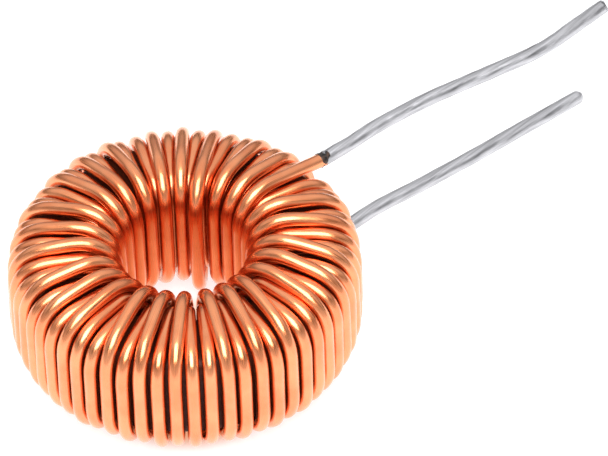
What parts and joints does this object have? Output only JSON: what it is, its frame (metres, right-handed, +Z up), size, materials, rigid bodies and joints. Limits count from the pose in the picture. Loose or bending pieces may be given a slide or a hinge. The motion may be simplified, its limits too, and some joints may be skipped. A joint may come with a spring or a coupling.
{
  "type": "toroidal inductor",
  "caption": "Toroidal inductor: a coated powder ring wound with thick enamelled copper wire, with two tinned leads that leave side by side from one edge.",
  "frame": {"origin": "on the ring's axis, in the plane that the coil stands on", "axes": "+Z up the ring's axis, +X along the leads, away from the coil"},
  "size_m": [0.0538, 0.0262, 0.0125],
  "materials": {
    "core_coating": "satin black epoxy coating on the pressed powder ring",
    "enamelled_copper": "copper wire under clear amber enamel, glossy, with faint drawing lines along it",
    "solder": "dipped solder, bright grey, slightly uneven and streaked along the lead"
  },
  "bodies": {
    "root": {"core": "core_coating", "winding_wire": "enamelled_copper", "lower_lead_solder": "solder", "upper_lead_solder": "solder"}
  },
  "joints": []
}
